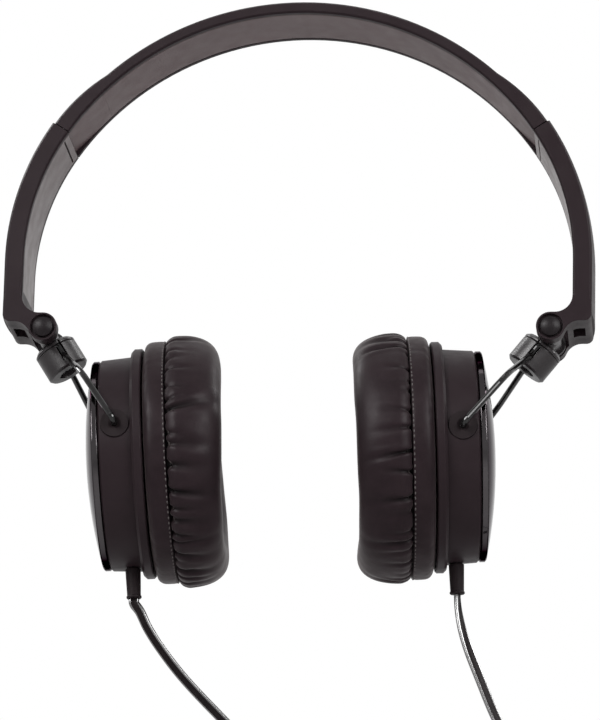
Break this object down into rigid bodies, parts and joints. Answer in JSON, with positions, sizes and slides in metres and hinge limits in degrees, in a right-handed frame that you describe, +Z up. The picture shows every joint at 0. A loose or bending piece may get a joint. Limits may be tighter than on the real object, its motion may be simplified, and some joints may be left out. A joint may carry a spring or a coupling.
{
  "type": "over-ear headphones",
  "caption": "Folding headphones: curved band, sliding arms, wire bails on swivel barrels, round cups with padded cushions and a coiled flat cord with a plug.",
  "frame": {"origin": "under the crown of the headband, at the middle of its width, where it rests on the head", "axes": "+Z up through the crown, -Y to the front, left_ pieces at -X"},
  "size_m": [0.1696, 0.0741, 0.3619],
  "materials": {
    "shell": "satin black moulded plastic",
    "liner": "soft satin grey-black liner",
    "cover": "satin grey inner cover",
    "steel": "brushed steel",
    "pin": "satin black metal",
    "wire": "gloss black coated wire",
    "barrel": "satin black moulded plastic",
    "cap": "gloss black",
    "pad": "soft black leatherette",
    "cloth": "black woven cloth",
    "driver": "moulded frame",
    "magnet": "plain iron",
    "coil": "lacquered copper winding",
    "film": "thin film",
    "cord": "satin black sleeve",
    "boot": "matt black rubber",
    "jack": "gold-plated contact"
  },
  "bodies": {
    "headband": {"band_shell": "shell", "band_liner": "liner", "left_cord": "cord", "right_cord": "cord", "cord_split": "boot", "main_cord": "cord", "cord_tie": "boot", "plug_grip": "boot", "plug_jack": "jack"},
    "left_arm": {"left_arm_shell": "shell", "left_arm_cover": "cover", "left_slider_tongue": "steel", "left_hinge_pin": "pin"},
    "left_yoke": {"left_hinge_knuckle": "barrel", "left_stem_screw": "steel"},
    "left_swivel": {"left_swivel_barrel": "barrel", "left_barrel_collar": "barrel", "left_bail_wire": "wire"},
    "left_cup": {"left_cup_housing": "shell", "left_cup_cap": "cap", "left_pivot_bushes": "boot", "left_baffle": "shell", "left_driver_frame": "driver", "left_driver_magnet": "magnet", "left_voice_coil": "coil", "left_diaphragm": "film", "left_driver_cloth": "cloth", "left_ear_pad": "pad", "left_baffle_screws": "steel", "left_strain_relief": "boot"},
    "right_arm": {"right_arm_shell": "shell", "right_arm_cover": "cover", "right_slider_tongue": "steel", "right_hinge_pin": "pin"},
    "right_yoke": {"right_hinge_knuckle": "barrel", "right_stem_screw": "steel"},
    "right_swivel": {"right_swivel_barrel": "barrel", "right_barrel_collar": "barrel", "right_bail_wire": "wire"},
    "right_cup": {"right_cup_housing": "shell", "right_cup_cap": "cap", "right_pivot_bushes": "boot", "right_baffle": "shell", "right_driver_frame": "driver", "right_driver_magnet": "magnet", "right_voice_coil": "coil", "right_diaphragm": "film", "right_driver_cloth": "cloth", "right_ear_pad": "pad", "right_baffle_screws": "steel", "right_strain_relief": "boot"}
  },
  "joints": [
    {"name": "left_extend", "type": "hinge", "parent": "headband", "child": "left_arm", "pos_m": [0, 0, -0.0805], "axis": [0, 1, 0], "range_deg": [-14, 0], "deforming": ["left_cord"]},
    {"name": "left_fold", "type": "hinge", "parent": "left_arm", "child": "left_yoke", "pos_m": [-0.07255, 0, -0.09449], "axis": [0, 1, 0], "range_deg": [-83.5, 0.5], "deforming": ["left_cord"]},
    {"name": "left_swivel", "type": "hinge", "parent": "left_yoke", "child": "left_swivel", "pos_m": [-0.07255, 0, -0.09449], "axis": [0.5373, 0, -0.8434], "range_deg": [-12.5, 17.5], "deforming": ["left_cord"]},
    {"name": "left_tilt", "type": "hinge", "parent": "left_swivel", "child": "left_cup", "pos_m": [-0.04967, 0.00004, -0.12853], "axis": [-0.0368, 0.999, -0.0234], "range_deg": [-5, 16], "deforming": ["left_cord"]},
    {"name": "right_extend", "type": "hinge", "parent": "headband", "child": "right_arm", "pos_m": [0, 0, -0.0805], "axis": [0, 1, 0], "range_deg": [0, 14], "deforming": ["right_cord"]},
    {"name": "right_fold", "type": "hinge", "parent": "right_arm", "child": "right_yoke", "pos_m": [0.07255, 0, -0.09449], "axis": [0, 1, 0], "range_deg": [-6.5, 77.5], "deforming": ["right_cord"]},
    {"name": "right_swivel", "type": "hinge", "parent": "right_yoke", "child": "right_swivel", "pos_m": [0.07255, 0, -0.09449], "axis": [-0.6225, 0, -0.7826], "range_deg": [-8, 22], "deforming": ["right_cord"]},
    {"name": "right_tilt", "type": "hinge", "parent": "right_swivel", "child": "right_cup", "pos_m": [0.04625, -0.00012, -0.12596], "axis": [-0.0954, 0.9925, 0.0759], "range_deg": [-9.5, 11.5], "deforming": ["right_cord"]}
  ]
}
